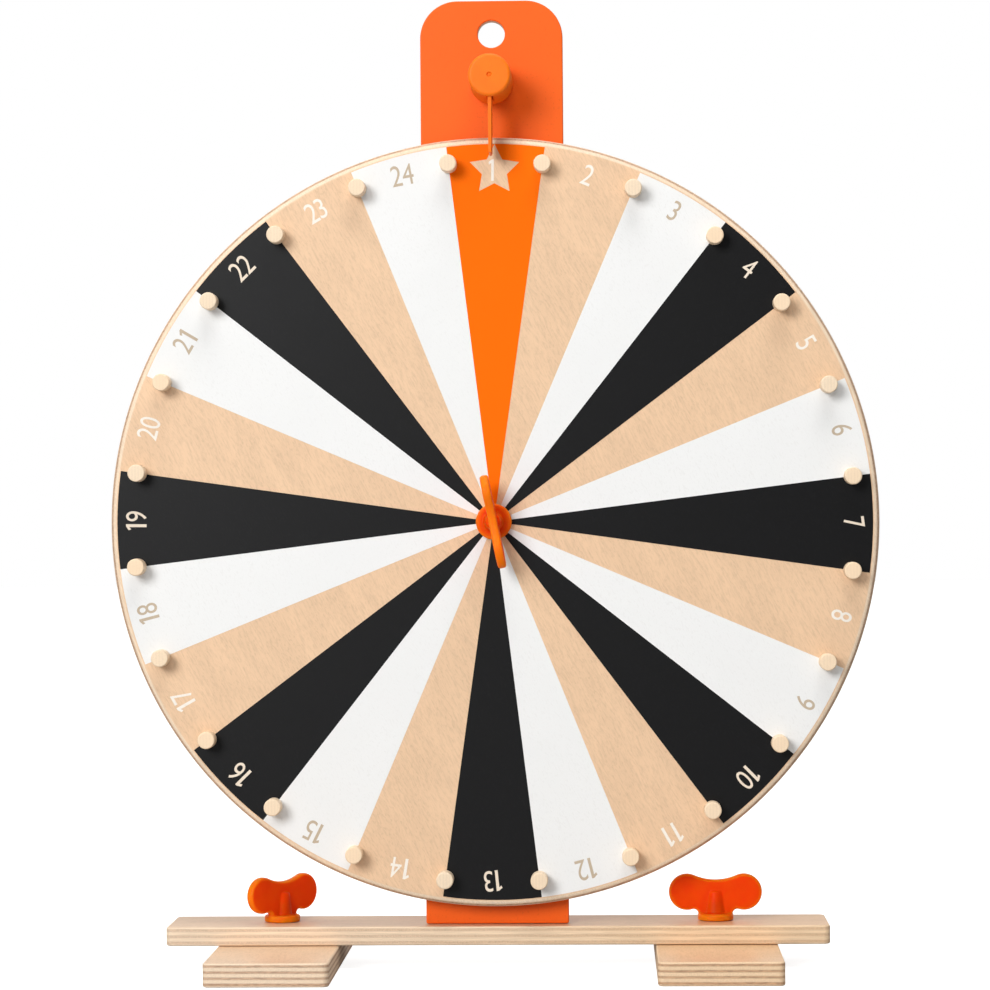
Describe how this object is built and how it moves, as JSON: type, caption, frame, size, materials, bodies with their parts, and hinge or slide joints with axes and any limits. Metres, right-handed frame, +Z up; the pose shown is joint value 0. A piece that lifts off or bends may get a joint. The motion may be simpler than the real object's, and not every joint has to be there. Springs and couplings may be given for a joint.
{
  "type": "prize wheel",
  "caption": "Tabletop game spinner: a numbered plywood wheel with dowel pegs on a painted upright, a flexible pointer above it, and a plank on swing-out feet.",
  "frame": {"origin": "on the table, midway between the feet, under the middle of the plank", "axes": "+X to the player's right, +Y from the player's side towards the back, +Z up"},
  "size_m": [0.45, 0.211, 0.5687],
  "materials": {
    "birch_plywood": "clear-varnished birch plywood with visible plies",
    "printed_plywood": "birch plywood printed with black, white and orange sectors under satin varnish",
    "dowel_wood": "bare pale dowel",
    "orange_paint": "satin orange paint on plywood, edges left bare",
    "orange_plastic": "satin orange plastic",
    "red_plastic": "semi-gloss red-orange moulded plastic",
    "nylon_spacer": "natural nylon",
    "brass_fittings": "turned",
    "zinc_steel": "zinc-plated"
  },
  "bodies": {
    "stand": {"base_plank": "birch_plywood", "upright_board": "orange_paint", "centre_bolt": "zinc_steel", "spacer_washer": "nylon_spacer", "front_washer": "zinc_steel", "pointer_knob": "orange_plastic", "pointer_screw_upper": "zinc_steel", "pointer_screw_lower": "zinc_steel", "base_screw_left": "zinc_steel", "base_screw_right": "zinc_steel"},
    "wheel": {"wheel_disc": "printed_plywood", "wheel_bush": "brass_fittings", "peg_01": "dowel_wood", "peg_02": "dowel_wood", "peg_03": "dowel_wood", "peg_04": "dowel_wood", "peg_05": "dowel_wood", "peg_06": "dowel_wood", "peg_07": "dowel_wood", "peg_08": "dowel_wood", "peg_09": "dowel_wood", "peg_10": "dowel_wood", "peg_11": "dowel_wood", "peg_12": "dowel_wood", "peg_13": "dowel_wood", "peg_14": "dowel_wood", "peg_15": "dowel_wood", "peg_16": "dowel_wood", "peg_17": "dowel_wood", "peg_18": "dowel_wood", "peg_19": "dowel_wood", "peg_20": "dowel_wood", "peg_21": "dowel_wood", "peg_22": "dowel_wood", "peg_23": "dowel_wood", "peg_24": "dowel_wood"},
    "leaf": {"pointer_leaf": "orange_plastic"},
    "centre_nut": {"centre_wing_nut": "red_plastic"},
    "left_knob": {"wing_knob_left": "red_plastic", "stud_left": "zinc_steel"},
    "right_knob": {"wing_knob_right": "red_plastic", "stud_right": "zinc_steel"},
    "left_foot": {"foot_left": "birch_plywood", "threaded_insert_left": "brass_fittings"},
    "right_foot": {"foot_right": "birch_plywood", "threaded_insert_right": "brass_fittings"}
  },
  "joints": [
    {"name": "wheel_spin", "type": "hinge", "parent": "stand", "child": "wheel", "pos_m": [0, -0.0265, 0.2617], "axis": [0, 1, 0], "continuous": true},
    {"name": "pointer_flex", "type": "hinge", "parent": "stand", "child": "leaf", "pos_m": [0, -0.046, 0.5086], "axis": [0, 1, 0], "range_deg": [-25, 25], "stiffness_Nm_per_rad": 0.06},
    {"name": "centre_nut_turn", "type": "hinge", "parent": "stand", "child": "centre_nut", "pos_m": [0, -0.0326, 0.2617], "axis": [0, -1, 0], "range_deg": [0, 450]},
    {"name": "left_knob_turn", "type": "hinge", "parent": "stand", "child": "left_knob", "pos_m": [-0.1285, 0, 0.0253], "axis": [0, 0, 1], "range_deg": [0, 450]},
    {"name": "right_knob_turn", "type": "hinge", "parent": "stand", "child": "right_knob", "pos_m": [0.1285, 0, 0.0253], "axis": [0, 0, 1], "range_deg": [0, 450]},
    {"name": "left_foot_swing", "type": "hinge", "parent": "stand", "child": "left_foot", "pos_m": [-0.1285, 0, 0.007], "axis": [0, 0, 1], "range_deg": [-90, 90]},
    {"name": "right_foot_swing", "type": "hinge", "parent": "stand", "child": "right_foot", "pos_m": [0.1285, 0, 0.007], "axis": [0, 0, 1], "range_deg": [-90, 90]}
  ]
}
